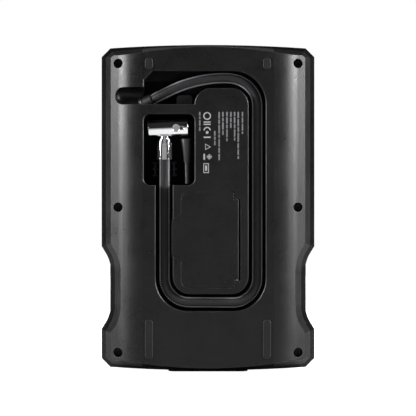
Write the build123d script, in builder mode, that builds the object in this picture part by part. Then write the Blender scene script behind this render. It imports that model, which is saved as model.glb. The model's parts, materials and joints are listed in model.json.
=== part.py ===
from build123d import *
import os
from math import atan2, cos, degrees, hypot, pi, radians, sin, tan

# Cordless tire inflator standing upright on its base pad. Its back cover faces -Y, its display faces +Y,
# +X is to the right of someone who looks at the back. The origin is under the middle of the body, on the
# surface that it stands on. Depths are measured from the flat back panel inwards, heights from mid height.

# Overall size
width = 150.0
height = 230.0
depth = 62.0
wall = 2.4

mid = height / 2
back = -depth / 2
front = depth / 2

# Outline, seen from the back
end_sag = 2.4
waist_depth = 6.4
waist_run = 10.5
waist_top = 88.0
waist_bottom = 29.8
waist_radius = 24.0
pad_proud = 0.5

# Cross-section of the back: flat panel, curved slope, facet, then the parting line
panel_half = 45.7
crease_inset = 12.6
crease_depth = 7.8
slope_start = 8.0
slope_end = 42.0
facet_rise = 0.945
facet_depth = 13.0
parting_depth = 19.5
shoulder_depth = 25.0
front_joint = 18.0

# Hose channel and the hollows that belong to it
channel_left = -36.3
channel_right = 40.0
channel_top = 94.9
channel_bottom = -71.6
channel_width = 12.0
channel_radius = 22.8
island_radius = 12.0
channel_depth = 11.0
tub_wall = 1.8
recess_left = -44.5
recess_bottom = 71.8
recess_cut = 6.2
well_right = -16.0
well_depth = 18.0
block_left = -21.8
block_right = -10.7
block_height = 6.5
block_depth = 6.0
groove_end_inset = 10.1
groove_width = 12.0
groove_depth = 14.5
pocket_left = -44.6
pocket_right = -9.2
pocket_bottom = 15.8
pocket_top = 65.1
pocket_radius = 4.5
pocket_depth = 17.0

# Ribs that clip the hose in the pocket
rib_spread = 6.6
rib_z = 27.1
rib_length = 9.7
rib_reach = 3.4
rib_thick = 1.0
rib_depth = 5.0

# Hose
hose_d = 7.7
exit_point = (-38.0, 13.0, 75.9)
exit_direction = (0.80, -0.45, 0.40)
hose_root = 8.0
hose_points = [
    (-31.6, 9.4, 79.1),
    (-17.0, 6.5, 85.8),
    (3.0, 6.3, 90.4),
    (22.6, 6.3, 89.9),
    (34.2, 6.3, 78.6),
    (34.2, 6.3, -55.4),
    (24.2, 6.3, -65.7),
    (-20.4, 6.3, -65.3),
    (-30.2, 6.3, -55.4),
    (-30.2, 7.0, 44.7),
]

# Gland and strain relief at the root of the hose
gland_d = 11.0
gland_length = 9.0
relief_d = 10.2
relief_tip_d = 8.9
relief_length = 7.0
bore_gap = 0.05

# Ferrule and chuck at the free end of the hose
end_x = -30.2
end_depth = 7.0
ferrule_bottom = 33.6
ferrule_height = 11.4
ferrule_across = 11.4
stem_flange_d = 9.4
stem_flange_height = 2.9
stem_neck_d = 6.6
chuck_x = -27.95
chuck_z = 55.3
chuck_length = 28.3
chuck_d = 12.4
chuck_tilt = 2.3
valve_bore_d = 8.4
valve_bore_depth = 11.0
spigot_gap = 0.4
cross_hole_d = 5.0
cross_hole_x = 5.8

# Cone nozzle stowed in the pocket
nozzle_x = -15.1
nozzle_z = 48.0
nozzle_length = 31.0
nozzle_depth = 8.0
nozzle_lean = 1.7

# Compartment and its door
door_left = -18.6
door_right = 22.0
door_bottom = -55.5
door_top = 11.6
door_radius = 5.5
door_thick = 2.2
door_gap = 0.3
tab_reach = 6.4
tab_low = -33.4
tab_high = -8.3
tab_shoulder = 4.0
barrel_d = 3.2
hinge_pin_d = 1.5
pin_grip = 4.0
compartment_depth = 15.0
compartment_rim = 3.4

# Screws that hold the housing together
screw_inset = 12.4
screw_ends = 14.5
screw_mid = 0.5
screw_head_d = 5.8
screw_head_height = 2.2
screw_d = 3.0
counterbore_d = 6.5
counterbore_floor = 16.0
screw_reach = 8.0
boss_d = 10.0
thread_gap = 0.04
column_rib = 3.0

# Skid pads on the back
foot_x = 40.8
foot_width = 5.4
foot_proud = 0.4
foot_sink = 1.0
upper_foot = (95.8, 103.7)
lower_foot = (-104.7, -77.4)

# Front: window, buttons, lamp
window_width = 84.0
window_height = 44.0
window_z = 59.0
window_thick = 1.6
window_rim = 3.0
button_z = 14.5
button_proud = foot_proud
button_gap = 0.2
button_travel = 0.8
button_flange = 1.2
mat_thick = 1.4
mat_height = 14.0
board_depth = 10.6
board_thick = 1.6
board_width = 104.0
board_bottom = 0.5
board_top = 88.0
vent_rows = 7
vent_pitch = 6.0
vent_width = 46.0
vent_slot = 2.4
vent_z = -60.0
lamp_width = 34.0
lamp_height = 8.0

# Charging port in the right side
port_z = 26.0
port_height = 24.0
port_width = 12.0
port_cover_thick = 2.0

port_y = 1.0
socket_across = 9.6
socket_height = 13.0

# Soft pads on the waist and under the body
grip_width = 17.0
grip_height = 34.0
grip_sink = 1.3
grip_pitch = 4.0
grip_ribs = 7
base_width = 56.0
base_depth = 30.0
base_behind = 22.0
base_thick = 2.0

# Battery
cell_d = 18.3
cell_length = 65.0
cell_pitch = 19.0
cell_count = 4
cell_y = 1.0
cell_bottom = 14.0

# Pump
pump_y = 7.0
pump_z = -57.0
gear_module = 0.8
pinion_teeth = 10
gear_teeth = 40
tooth_thick = 1.0
gear_x = 1.0
gear_width = 5.0
motor_d = 33.0
motor_length = 50.0
motor_shaft_d = 3.2
plate_thick = 3.0
axle_d = 5.0
running_gap = 0.03
crank_radius = 6.5
crank_pin_d = 4.0
rod_x = 8.6
rod_thick = 5.0
rod_length = 30.0
rod_eye_d = 11.0
wrist_pin_d = 4.0
bore_d = 24.0
cylinder_wall = 2.0
cylinder_length = 25.0
piston_height = 12.0
wrist_drop = 7.0
head_height = 10.0
gasket_thick = 0.6
tube_d = 6.0

gear_distance = gear_module * (pinion_teeth + gear_teeth) / 2 + 0.05
motor_z = mid + pump_z - gear_distance
crank_z = mid + pump_z
cylinder_x = rod_x + rod_thick / 2
os.makedirs("parts", exist_ok=True)


def across(y):
    """Plane across the depth at y: its x is X, its y is Z and its normal points to the back."""
    return Plane.XZ.offset(-y)


def along(x):
    """Plane across the width at x: its x is Y, its y is Z and its normal is +X."""
    return Plane.YZ.offset(x)


def save(piece, name):
    """Labels a finished piece and writes it to its own file."""
    piece.label = name
    export_step(piece, "parts/" + name + ".step")


# Housing form -------------------------------------------------------------------------------------


def outline(side, middle, corner, cut):
    """Face of the body seen from the back, drawn in at the sides, the end middles and the end corners."""
    half = width / 2 - side
    lean = atan2(waist_depth, waist_run)
    lift = side * tan(lean / 2)
    low = end_sag + corner + pad_proud
    high = height - end_sag - corner
    hollow = waist_radius + side
    with BuildLine() as line:
        ThreePointArc(*end_arc(height - middle, high, half - cut))
        FilletPolyline(
            (half - cut, high),
            (half, high - cut),
            (half, waist_top + lift),
            (half - waist_depth, waist_top - waist_run + lift),
            (half - waist_depth, waist_bottom + waist_run - lift),
            (half, waist_bottom - lift),
            (half, low + cut),
            (half - cut, low),
            radius=[0, 0, hollow, hollow, 0, 0],
        )
        ThreePointArc(*end_arc(middle + pad_proud, low, half - cut))
        mirror(about=Plane.YZ)
    make_face(line.edges())


def end_arc(peak, shoulder, reach):
    """Start, middle and end of the half arc that closes an end of the body."""
    sag = peak - shoulder
    return (0, peak), (reach / 2, peak - sag / 4), (reach, shoulder)


def housing_form(skin):
    """Outer form of the whole housing, drawn in by skin on every side."""
    cut = 6.2 - 0.6 * skin
    with BuildPart() as form:
        with BuildSketch(across(back + skin)):
            outline(8.5 + skin, 3.6 + skin, 8.9 + skin, 1.6)
        with BuildSketch(across(back + facet_depth)):
            outline(7.1 + skin, 2.6 + skin, 5.6 + skin, 2.0)
        with BuildSketch(across(back + parting_depth)):
            outline(3.4 + skin, 1.3 + skin, 3.0 + skin, cut - 2)
        with BuildSketch(across(back + shoulder_depth)):
            outline(skin, skin, skin, cut)
        with BuildSketch(across(front - front_joint)):
            outline(skin, skin, skin, cut)
        with BuildSketch(across(front - 6)):
            outline(4.0 + skin, 3.0 + skin, 4.0 + skin, cut - 2)
        with BuildSketch(across(front - 1.6 - skin / 2)):
            outline(7.5 + skin, 6.0 + skin, 7.5 + skin, 2.4)
        with BuildSketch(across(front - skin)):
            outline(11.0 + skin, 9.0 + skin, 11.0 + skin, 2.0)
        loft(ruled=True)
        with BuildSketch(Plane.XY.offset(-1)):
            cross_section(skin)
        extrude(amount=height + 2, mode=Mode.INTERSECT)
    return form.part


def cross_section(skin):
    """Section across the body: flat panel, curved slope to the crease, then the facet."""
    crease = (width / 2 - crease_inset - 0.68 * skin, back + crease_depth + 0.73 * skin)
    edge = (panel_half - 0.1 * skin, back + skin)
    run = hypot(crease[0] - edge[0], crease[1] - edge[1])
    bulge = run / 2 * tan(radians(slope_end - slope_start) / 4)
    face = ((crease[0] - edge[0]) / run, (crease[1] - edge[1]) / run)
    swell = (
        (edge[0] + crease[0]) / 2 + bulge * face[1],
        (edge[1] + crease[1]) / 2 - bulge * face[0],
    )
    beyond = 14.0
    with BuildLine() as line:
        Line((0, edge[1]), edge)
        ThreePointArc(edge, swell, crease)
        Polyline(
            crease,
            (crease[0] + beyond, crease[1] + beyond * facet_rise),
            (crease[0] + beyond, front + 1),
            (0, front + 1),
        )
        mirror(about=Plane.YZ)
    make_face(line.edges())


def slice_of(form, low, high):
    """The part of a form between two depths."""
    with BuildPart() as piece:
        add(form)
        with BuildSketch(across(low)):
            with Locations((0, mid)):
                Rectangle(2 * width, 2 * height)
        extrude(amount=low - high, mode=Mode.INTERSECT)
    return piece.part


# The hollows of the back cover, as faces on the back panel ----------------------------------------


def channel_faces():
    """The racetrack that the hose lies in, open at the chuck pocket and at the recess."""
    centre_x = (channel_left + channel_right) / 2
    centre_z = mid + (channel_top + channel_bottom) / 2
    long = channel_top - channel_bottom
    broad = channel_right - channel_left
    with Locations((centre_x, centre_z)):
        RectangleRounded(broad, long, channel_radius)
        RectangleRounded(
            broad - 2 * channel_width, long - 2 * channel_width, island_radius, mode=Mode.SUBTRACT
        )
    gap = recess_bottom - pocket_bottom
    with Locations((channel_left + channel_width / 2, mid + pocket_bottom + gap / 2)):
        Rectangle(channel_width + 1, gap, mode=Mode.SUBTRACT)
    with Locations((recess_left / 2, mid + (recess_bottom + channel_top) / 2)):
        Rectangle(-recess_left, channel_top - recess_bottom, mode=Mode.SUBTRACT)


def recess_face():
    """The room round the root of the hose, with one cut corner and a round corner of the island."""
    floor = mid + recess_bottom
    island_top = mid + channel_top - channel_width
    centre = island_radius - 9.3
    turn = radians(45)
    with BuildLine() as line:
        Polyline(
            (centre - island_radius, floor),
            (recess_left, floor),
            (recess_left, mid + channel_top - recess_cut),
            (recess_left + recess_cut, mid + channel_top),
            (centre, mid + channel_top),
            (centre, island_top),
        )
        ThreePointArc(
            (centre, island_top),
            (centre - island_radius * cos(turn), floor + (island_top - floor) * sin(turn)),
            (centre - island_radius, floor),
        )
    make_face(line.edges())


def well_face():
    """The deep part of the recess, where the hose dives into the body."""
    top = channel_top - recess_cut
    with Locations(((recess_left + well_right) / 2, mid + (recess_bottom + top) / 2)):
        Rectangle(well_right - recess_left, top - recess_bottom)


def groove_face():
    """The groove from the recess out through the left slope."""
    end = -width / 2 + groove_end_inset
    reach = recess_left + 2 - end
    with Locations((end + groove_width / 2 + (reach - groove_width / 2) / 2, groove_z)):
        Rectangle(reach - groove_width / 2, groove_width)
    with Locations((end + groove_width / 2, groove_z)):
        Circle(groove_width / 2)


groove_z = mid + recess_bottom + groove_width / 2


def pocket_face():
    """The pocket that the chuck and the nozzle lie in."""
    broad = pocket_right - pocket_left
    long = pocket_top - pocket_bottom
    with Locations(((pocket_left + pocket_right) / 2, mid + (pocket_top + pocket_bottom) / 2)):
        RectangleRounded(broad, long, pocket_radius)


def door_face(gap):
    """Outline of the compartment door with its finger tab, drawn in by gap."""
    broad = door_right - door_left - 2 * gap
    long = door_top - door_bottom - 2 * gap
    with Locations(((door_left + door_right) / 2, mid + (door_top + door_bottom) / 2)):
        RectangleRounded(broad, long, door_radius)
    tip = door_left - tab_reach
    with BuildLine() as line:
        Polyline(
            (door_left + gap + 1, mid + tab_high + tab_shoulder - gap),
            (door_left + gap, mid + tab_high + tab_shoulder - gap),
            (tip, mid + tab_high - gap),
            (tip, mid + tab_low + gap),
            (door_left + gap, mid + tab_low - tab_shoulder + gap),
            (door_left + gap + 1, mid + tab_low - tab_shoulder + gap),
            close=True,
        )
    make_face(line.edges())


def compartment_face(margin):
    """The hollow under the door."""
    broad = door_right - door_left - 2 * compartment_rim + 2 * margin
    long = door_top - door_bottom - 2 * compartment_rim + 2 * margin
    with Locations(((door_left + door_right) / 2, mid + (door_top + door_bottom) / 2)):
        RectangleRounded(broad, long, 3.0)


def feet_faces():
    """The four skid pads."""
    for low, high in (upper_foot, lower_foot):
        with Locations((-foot_x, mid + (low + high) / 2), (foot_x, mid + (low + high) / 2)):
            RectangleRounded(foot_width, high - low, foot_width / 2 - 0.5)


# Places that several pieces share -----------------------------------------------------------------

screw_x = width / 2 - screw_inset
screw_zs = (screw_ends, mid + screw_mid, height - screw_ends)
screws_at = [(x, z) for x in (-screw_x, screw_x) for z in screw_zs]
ribs_at = [(end_x - rib_spread, mid + rib_z), (end_x + rib_spread, mid + rib_z)]
hinge_x = door_right - door_gap - barrel_d / 2
hinge_y = back + barrel_d / 2
door_mid = mid + (door_top + door_bottom) / 2
barrel_length = door_top - door_bottom - 2 * door_radius - 2 * door_gap
lug_half = barrel_d / 2 + 0.1
lug_length = door_radius
lug_high = mid + door_top - lug_length / 2
lug_low = mid + door_bottom + lug_length / 2
exit_at = Vector(exit_point[0], back + exit_point[1], mid + exit_point[2])
exit_way = Vector(*exit_direction).normalized()


def on_exit(distance):
    """Plane square to the hose where it leaves its gland, at a distance along it from the exit."""
    return Plane(origin=exit_at + exit_way * distance, z_dir=exit_way)


# Back cover ---------------------------------------------------------------------------------------

parting_y = back + parting_depth
joint_y = front - front_joint
outer_form = housing_form(0)
inner_form = housing_form(wall)
back_solid = slice_of(outer_form, back - 1, parting_y)
boss_room = slice_of(housing_form(wall / 2), back - 1, parting_y + 2 * wall)
back_room = slice_of(inner_form, back - 1, parting_y)
seat_depth = door_thick + 0.1
barrel_seat = barrel_d + 0.3
groove_axis = back + groove_depth - groove_width / 2
groove_left = -width / 2 + groove_end_inset + groove_width / 2

with BuildPart() as bosses:
    with BuildSketch(across(back + groove_depth + tub_wall)):
        groove_face()
        offset(amount=tub_wall)
    extrude(amount=groove_depth + tub_wall)
    with BuildSketch(across(parting_y)):
        with Locations(*screws_at):
            Circle(boss_d / 2)
    extrude(amount=parting_depth)
    with BuildSketch(on_exit(-relief_length - gland_length + 2)):
        Circle(gland_d / 2 + 2.4)
    extrude(amount=gland_length - 3)
    add(boss_room, mode=Mode.INTERSECT)
boss_block = bosses.part

with BuildPart() as back_cover:
    add(back_solid)
    add(back_room, mode=Mode.SUBTRACT)
    # Walls of the hollows, bosses and the bulkhead of the hose gland
    with BuildSketch(across(back + wall / 2)):
        channel_faces()
        recess_face()
        offset(amount=tub_wall)
    extrude(amount=-(channel_depth + tub_wall - wall / 2))
    with BuildSketch(across(back + wall / 2)):
        well_face()
        offset(amount=tub_wall)
    extrude(amount=-(well_depth + tub_wall - wall / 2))
    with BuildSketch(across(back + wall / 2)):
        pocket_face()
        offset(amount=tub_wall)
    extrude(amount=-(pocket_depth + tub_wall - wall / 2))
    with BuildSketch(across(back + wall / 2)):
        compartment_face(tub_wall)
    extrude(amount=-(compartment_depth + tub_wall - wall / 2))
    with BuildSketch(across(back + wall / 2)):
        door_face(-tub_wall)
    extrude(amount=-(barrel_seat + tub_wall - wall / 2))
    with BuildSketch(across(back + wall / 2)):
        with Locations((hinge_x, mid + (door_top + door_bottom) / 2)):
            Rectangle(barrel_d + 2 * tub_wall, door_top - door_bottom + 4 * tub_wall + 4)
    extrude(amount=-(barrel_seat + tub_wall - wall / 2))
    add(boss_block)
    # Channel, recess and pocket, with softened rims
    with BuildSketch(across(back)):
        channel_faces()
        recess_face()
    extrude(amount=-channel_depth, mode=Mode.SUBTRACT)
    with BuildSketch(across(back)):
        pocket_face()
    extrude(amount=-pocket_depth, mode=Mode.SUBTRACT)
    rims = back_cover.edges().filter_by_position(Axis.Y, back - 0.01, back + 0.01)
    rims = rims.filter_by(lambda e: abs(e.center().X) < panel_half - 0.6)
    rims = rims.filter_by(lambda e: abs(e.center().Z - mid) < channel_top + 1)
    chamfer(rims, 0.4)
    # Well, groove, door seat and compartment
    with BuildSketch(across(back + channel_depth - 1)):
        well_face()
    extrude(amount=-(well_depth - channel_depth + 1), mode=Mode.SUBTRACT)
    with BuildSketch(across(groove_axis)):
        groove_face()
    extrude(amount=2 * depth, mode=Mode.SUBTRACT)
    with BuildSketch(along(recess_left + 2)):
        with Locations((groove_axis, groove_z)):
            Circle(groove_width / 2)
    extrude(amount=groove_left - recess_left - 2, mode=Mode.SUBTRACT)
    with Locations((groove_left, groove_axis, groove_z)):
        Sphere(groove_width / 2, mode=Mode.SUBTRACT)
    with BuildSketch(across(back)):
        door_face(0)
    extrude(amount=-seat_depth, mode=Mode.SUBTRACT)
    with BuildSketch(across(back)):
        with Locations((hinge_x + door_gap, mid + (door_top + door_bottom) / 2)):
            Rectangle(barrel_d + 1.2, door_top - door_bottom - 2 * door_radius)
    extrude(amount=-barrel_seat, mode=Mode.SUBTRACT)
    with BuildSketch(across(back)):
        compartment_face(0)
    extrude(amount=-compartment_depth, mode=Mode.SUBTRACT)
    with BuildSketch(across(back)):
        with Locations((hinge_x, lug_low), (hinge_x, lug_high)):
            Rectangle(2 * lug_half, lug_length)
    extrude(amount=-(barrel_seat + 0.5))
    # Block on the floor of the recess and the ribs that hold the hose and the nozzle
    with BuildSketch(across(back + channel_depth)) as block:
        with Locations(((block_left + block_right) / 2, mid + recess_bottom + block_height / 2 - 0.5)):
            RectangleRounded(block_right - block_left, block_height + 1, 2.5)
    extrude(amount=channel_depth - block_depth)
    with BuildSketch(across(back + pocket_depth)):
        with Locations(*ribs_at):
            Rectangle(rib_thick, rib_length)
            with GridLocations(0, rib_length / 2 - rib_thick / 2, 1, 3):
                Rectangle(rib_reach, rib_thick)
    extrude(amount=pocket_depth - rib_depth)
    # Holes
    with BuildSketch(across(back + counterbore_floor)):
        with Locations(*screws_at):
            Circle(counterbore_d / 2)
    extrude(amount=counterbore_floor, mode=Mode.SUBTRACT)
    with BuildSketch(across(back)):
        with Locations(*screws_at):
            Circle(screw_d / 2 + 0.2)
    extrude(amount=-(parting_depth + 1), mode=Mode.SUBTRACT)
    with BuildSketch(on_exit(2)):
        Circle(gland_d / 2 + bore_gap)
    extrude(amount=-(relief_length + gland_length + 6), mode=Mode.SUBTRACT)
    with BuildSketch(Plane.XY.offset(door_mid - barrel_length / 2 - pin_grip - 0.2)):
        with Locations((hinge_x, hinge_y)):
            Circle(hinge_pin_d / 2 + 0.02)
    extrude(amount=barrel_length + 2 * pin_grip + 0.4, mode=Mode.SUBTRACT)
    with BuildSketch(across(back)):
        feet_faces()
    extrude(amount=-foot_sink, mode=Mode.SUBTRACT)
save(back_cover.part, "back_cover")


# Middle frame -------------------------------------------------------------------------------------

middle_solid = slice_of(outer_form, parting_y, joint_y)
middle_room = slice_of(inner_form, parting_y - 1, joint_y + 1)
middle_y = (parting_y + joint_y) / 2
port_z_at = mid + port_z
lamp_floor = height - wall - 1.4
grip_z = (waist_top + waist_bottom) / 2
grip_x = width / 2 - waist_depth


def base_face():
    """The rubber pad under the body."""
    with Locations((0, base_y)):
        RectangleRounded(base_width, base_depth, 5.0)


base_y = joint_y - base_behind + base_depth / 2

with BuildPart() as columns:
    add(slice_of(housing_form(wall / 2), parting_y, joint_y))
    with BuildSketch(across(parting_y)):
        with Locations(*screws_at):
            Circle(boss_d / 2)
        for x, z in screws_at:
            with Locations((x + boss_d * x / abs(x), z)):
                Rectangle(2 * boss_d, column_rib)
    extrude(amount=parting_y - joint_y, mode=Mode.INTERSECT)

with BuildPart() as mid_frame:
    add(middle_solid)
    add(middle_room, mode=Mode.SUBTRACT)
    add(columns.part)
    with BuildSketch(across(parting_y)):
        with Locations(*screws_at):
            Circle(screw_d / 2 + 0.2)
    extrude(amount=parting_y - joint_y, mode=Mode.SUBTRACT)
    # Seat of the charging port and its cover
    with BuildSketch(along(width / 2 - port_cover_thick)):
        with Locations((port_y, port_z_at)):
            Rectangle(port_width + 2 * door_gap, port_height + 2 * door_gap)
    extrude(amount=port_cover_thick + 1, mode=Mode.SUBTRACT)
    with BuildSketch(along(width / 2 - 3 * wall)):
        with Locations((port_y, port_z_at)):
            Rectangle(socket_across + 0.1, socket_height + 0.1)
    extrude(amount=3 * wall, mode=Mode.SUBTRACT)
    # Lamp opening, grip seats and the seat of the base pad
    with BuildSketch(Plane.XY.offset(lamp_floor)):
        with Locations((0, middle_y)):
            Rectangle(lamp_width + 0.1, lamp_height + 0.1)
    extrude(amount=10, mode=Mode.SUBTRACT)
    for side in (-1, 1):
        with BuildSketch(along(side * (grip_x - grip_sink))):
            with Locations((middle_y, grip_z)):
                RectangleRounded(grip_width, grip_height, 3.0)
        extrude(amount=side * 10, mode=Mode.SUBTRACT)
    with BuildSketch(Plane.XY):
        base_face()
    extrude(amount=base_thick, mode=Mode.SUBTRACT)
save(mid_frame.part, "mid_frame")

for side, name in ((-1, "left_grip"), (1, "right_grip")):
    with BuildPart() as grip:
        with BuildSketch(along(side * (grip_x - grip_sink))):
            with Locations((middle_y, grip_z)):
                RectangleRounded(grip_width - 0.1, grip_height - 0.1, 3.0)
        extrude(amount=side * (grip_sink + 0.3))
        with BuildSketch(along(side * (grip_x - 0.3))):
            with Locations((middle_y, grip_z)):
                with GridLocations(1, grip_pitch, 1, grip_ribs):
                    Rectangle(grip_width - 4, grip_pitch / 2)
        extrude(amount=side, mode=Mode.SUBTRACT)
    save(grip.part, name)

with BuildPart() as base_pad:
    with BuildSketch(Plane.XY):
        base_face()
    extrude(amount=base_thick)
    chamfer(base_pad.edges().group_by(Axis.Z)[0], 0.3)
save(base_pad.part, "base_pad")

with BuildPart() as lamp_lens:
    with BuildSketch(Plane.XY.offset(lamp_floor)):
        with Locations((0, middle_y)):
            Rectangle(lamp_width, lamp_height)
    extrude(amount=10)
    add(middle_solid, mode=Mode.INTERSECT)
save(lamp_lens.part, "lamp_lens")

with BuildPart() as lamp_board:
    with BuildSketch(Plane.XY.offset(lamp_floor - 4)):
        with Locations((0, middle_y)):
            Rectangle(lamp_width + 6, lamp_height + 4)
    extrude(amount=1.6)
    with BuildSketch(Plane.XY.offset(lamp_floor - 2.4)):
        with Locations((0, middle_y)):
            with GridLocations(9, 1, 3, 1):
                Rectangle(3, 3)
    extrude(amount=0.8)
save(lamp_board.part, "lamp_board")

with BuildPart() as charge_port:
    with BuildSketch(along(width / 2 - 2 * wall - 4)):
        with Locations((port_y, port_z_at)):
            RectangleRounded(socket_across, socket_height, 2.5)
    extrude(amount=2 * wall + 4 - port_cover_thick - 0.4)
    with BuildSketch(along(width / 2 - 2 * wall - 3)):
        with Locations((port_y, port_z_at)):
            RectangleRounded(socket_across - 1.6, socket_height - 1.6, 2.0)
    extrude(amount=20, mode=Mode.SUBTRACT)
    with BuildSketch(along(width / 2 - 2 * wall - 4)):
        with Locations((port_y, port_z_at)):
            Rectangle(socket_across - 5, 1.0)
    extrude(amount=5.5)
save(charge_port.part, "charge_port")

port_bottom = port_z_at - port_height / 2
port_barrel = port_cover_thick
port_hinge = (width / 2 - port_barrel / 2, port_y, port_bottom + port_barrel / 2)

with BuildPart() as port_cover:
    with BuildSketch(along(width / 2 - port_cover_thick + 0.05)):
        with Locations((port_y, port_z_at + port_barrel / 4)):
            Rectangle(port_width, port_height - port_barrel / 2)
    extrude(amount=port_cover_thick - 0.05)
    chamfer(port_cover.edges().filter_by(Axis.X).group_by(Axis.Z)[-1], 1.2)
    with BuildSketch(Plane.XZ.offset(-port_y - port_width / 2)):
        with Locations((port_hinge[0], port_hinge[2])):
            Circle(port_barrel / 2 - 0.02)
    extrude(amount=port_width)
    with BuildSketch(along(width / 2)):
        with Locations((port_y, port_z_at + port_height / 2 - 4)):
            Rectangle(port_width - 4, 1.2)
    extrude(amount=-0.5, mode=Mode.SUBTRACT)
save(port_cover.part, "port_cover")


# Front cover, window, buttons and board -----------------------------------------------------------

front_solid = slice_of(outer_form, joint_y, front + 1)
front_room = slice_of(inner_form, joint_y - 1, front + 1)
buttons = {
    "power_button": (0.0, 17.0, 17.0),
    "plus_button": (24.0, 17.0, 12.0),
    "minus_button": (-24.0, 17.0, 12.0),
    "mode_button": (44.0, 11.0, 11.0),
    "light_button": (-44.0, 11.0, 11.0),
}
window_at = (0, mid + window_z)


def button_face(name, grow):
    """Outline of one button: round for power, a bar with round ends for the others."""
    x, broad, tall = buttons[name]
    with Locations((x, mid + button_z)):
        RectangleRounded(broad + 2 * grow, tall + 2 * grow, tall / 2 - 0.2 + grow)


with BuildPart() as front_cover:
    add(front_solid)
    add(front_room, mode=Mode.SUBTRACT)
    with BuildSketch(across(joint_y)):
        with Locations(*screws_at):
            Circle(boss_d / 2)
    extrude(amount=-(front_joint - wall - 0.2))
    with BuildSketch(across(joint_y)):
        with Locations(*screws_at):
            Circle(screw_d / 2 + thread_gap)
    extrude(amount=-(screw_reach + 1), mode=Mode.SUBTRACT)
    with BuildSketch(across(front)):
        with Locations(window_at):
            RectangleRounded(window_width, window_height, 5.0)
    extrude(amount=window_thick, mode=Mode.SUBTRACT)
    with BuildSketch(across(front)):
        with Locations(window_at):
            RectangleRounded(window_width - 2 * window_rim, window_height - 2 * window_rim, 3.0)
    extrude(amount=2 * wall, mode=Mode.SUBTRACT)
    with BuildSketch(across(front)):
        for name in buttons:
            button_face(name, button_gap)
    extrude(amount=2 * wall, mode=Mode.SUBTRACT)
    with BuildSketch(across(front)):
        with Locations((0, mid + vent_z)):
            with GridLocations(1, vent_pitch, 1, vent_rows):
                SlotOverall(vent_width, vent_slot)
    extrude(amount=2 * wall, mode=Mode.SUBTRACT)
    with BuildSketch(Plane.XY):
        base_face()
    extrude(amount=base_thick, mode=Mode.SUBTRACT)
save(front_cover.part, "front_cover")

with BuildPart() as display_window:
    with BuildSketch(across(front)):
        with Locations(window_at):
            RectangleRounded(window_width - 0.1, window_height - 0.1, 5.0)
    extrude(amount=window_thick)
save(display_window.part, "display_window")

board_y = front - board_depth
mat_y = board_y + board_thick
cap_y = mat_y + mat_thick + button_travel + 0.4
for name in buttons:
    with BuildPart() as button:
        with BuildSketch(across(front + button_proud)):
            button_face(name, 0)
        extrude(amount=front + button_proud - cap_y)
        chamfer(button.faces().sort_by(Axis.Y)[-1].edges(), 0.4)
        with BuildSketch(across(front - wall - 0.1)):
            button_face(name, 1.0)
        extrude(amount=button_flange)
    save(button.part, name)

with BuildPart() as button_mat:
    with BuildSketch(across(mat_y)):
        with Locations((0, mid + button_z)):
            RectangleRounded(board_width - 4, mat_height, 4)
    extrude(amount=-mat_thick)
save(button_mat.part, "button_mat")

with BuildPart() as main_board:
    with BuildSketch(across(board_y)):
        with Locations((0, mid + (board_top + board_bottom) / 2)):
            Rectangle(board_width, board_top - board_bottom)
            with GridLocations(board_width - 8, board_top - board_bottom - 8, 2, 2):
                Circle(1.6, mode=Mode.SUBTRACT)
    extrude(amount=-board_thick)
    with BuildSketch(across(board_y)):
        with Locations((-30, mid + 6), (8, mid + 7)):
            Rectangle(16, 7)
    extrude(amount=2.0)
save(main_board.part, "main_board")

with BuildPart() as board_screws:
    with BuildSketch(across(board_y)):
        with Locations((0, mid + (board_top + board_bottom) / 2)):
            with GridLocations(board_width - 8, board_top - board_bottom - 8, 2, 2):
                Circle(2.6)
    extrude(amount=1.6)
    with BuildSketch(across(board_y)):
        with Locations((0, mid + (board_top + board_bottom) / 2)):
            with GridLocations(board_width - 8, board_top - board_bottom - 8, 2, 2):
                Circle(1.5)
    extrude(amount=-6)
save(board_screws.part, "board_screws")

with BuildPart() as lcd_module:
    with BuildSketch(across(mat_y)):
        with Locations(window_at):
            RectangleRounded(window_width - 4, window_height - 4, 1.5)
    extrude(amount=-(front - wall - mat_y - 0.3))
save(lcd_module.part, "lcd_module")


# Skid pads, screws and the door -------------------------------------------------------------------

with BuildPart() as back_feet:
    with BuildSketch(across(back + foot_sink)):
        feet_faces()
    extrude(amount=foot_sink + foot_proud)
    chamfer(back_feet.faces().filter_by(Axis.Y).group_by(Axis.Y)[0].edges(), 0.3)
save(back_feet.part, "back_feet")

head_y = back + counterbore_floor
with BuildPart() as cover_screws:
    with BuildSketch(across(head_y)):
        with Locations(*screws_at):
            Circle(screw_head_d / 2)
    extrude(amount=screw_head_height)
    chamfer(cover_screws.faces().filter_by(Axis.Y).group_by(Axis.Y)[0].edges(), 0.5)
    with BuildSketch(across(head_y)):
        with Locations(*screws_at):
            Circle(screw_d / 2)
    extrude(amount=-(joint_y + screw_reach - head_y))
    with BuildSketch(across(head_y - screw_head_height)):
        with Locations(*screws_at):
            Rectangle(3.2, 0.7)
            Rectangle(0.7, 3.2)
    extrude(amount=-1.3, mode=Mode.SUBTRACT)
save(cover_screws.part, "cover_screws")

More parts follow.
